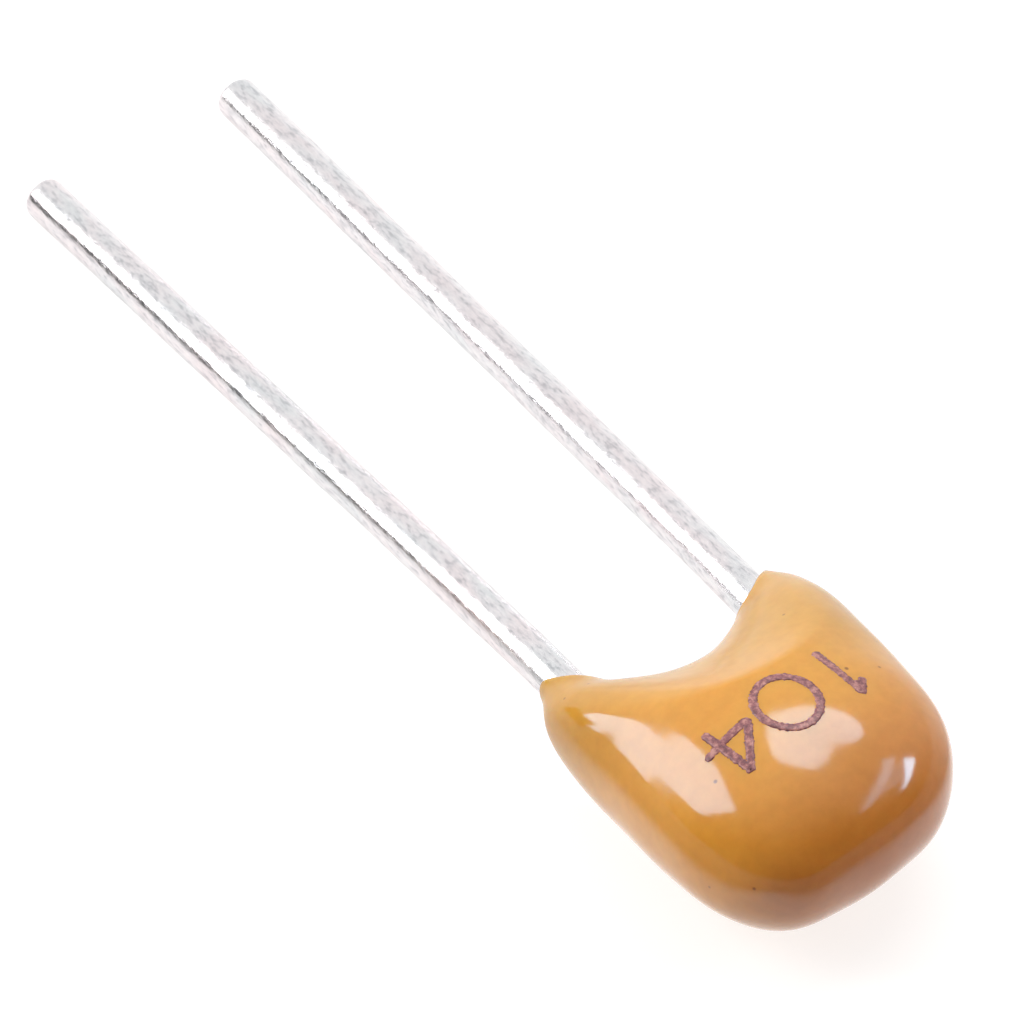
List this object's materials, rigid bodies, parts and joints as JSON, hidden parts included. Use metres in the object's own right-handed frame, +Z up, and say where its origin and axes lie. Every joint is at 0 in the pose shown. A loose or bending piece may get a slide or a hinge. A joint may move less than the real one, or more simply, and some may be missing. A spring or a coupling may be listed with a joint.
{
  "type": "multilayer ceramic capacitor",
  "caption": "Small capacitor with a plump, dipped orange-yellow epoxy body, two ears and two straight tinned wire leads, lying on its back.",
  "frame": {"origin": "centre of the bounding box at the floor, under the lying part", "axes": "+Y along the leads, from the body to the lead tips; +X across the leads; +Z up, away from the floor"},
  "size_m": [0.0036, 0.015, 0.0026],
  "materials": {
    "epoxy": "glossy dipped epoxy",
    "tinned_wire": "tinned, satin",
    "solder": "smooth, dull",
    "termination_metal": "fired and plated, matt",
    "fired_ceramic": "fired, matt",
    "electrode_metal": "matt"
  },
  "bodies": {
    "root": {"epoxy_coating": "epoxy", "lead_wire_left": "tinned_wire", "lead_wire_right": "tinned_wire", "solder_joint_left": "solder", "solder_joint_right": "solder", "end_termination_left": "termination_metal", "end_termination_right": "termination_metal", "ceramic_chip": "fired_ceramic", "electrode_plates_left": "electrode_metal", "electrode_plates_right": "electrode_metal"}
  },
  "joints": []
}
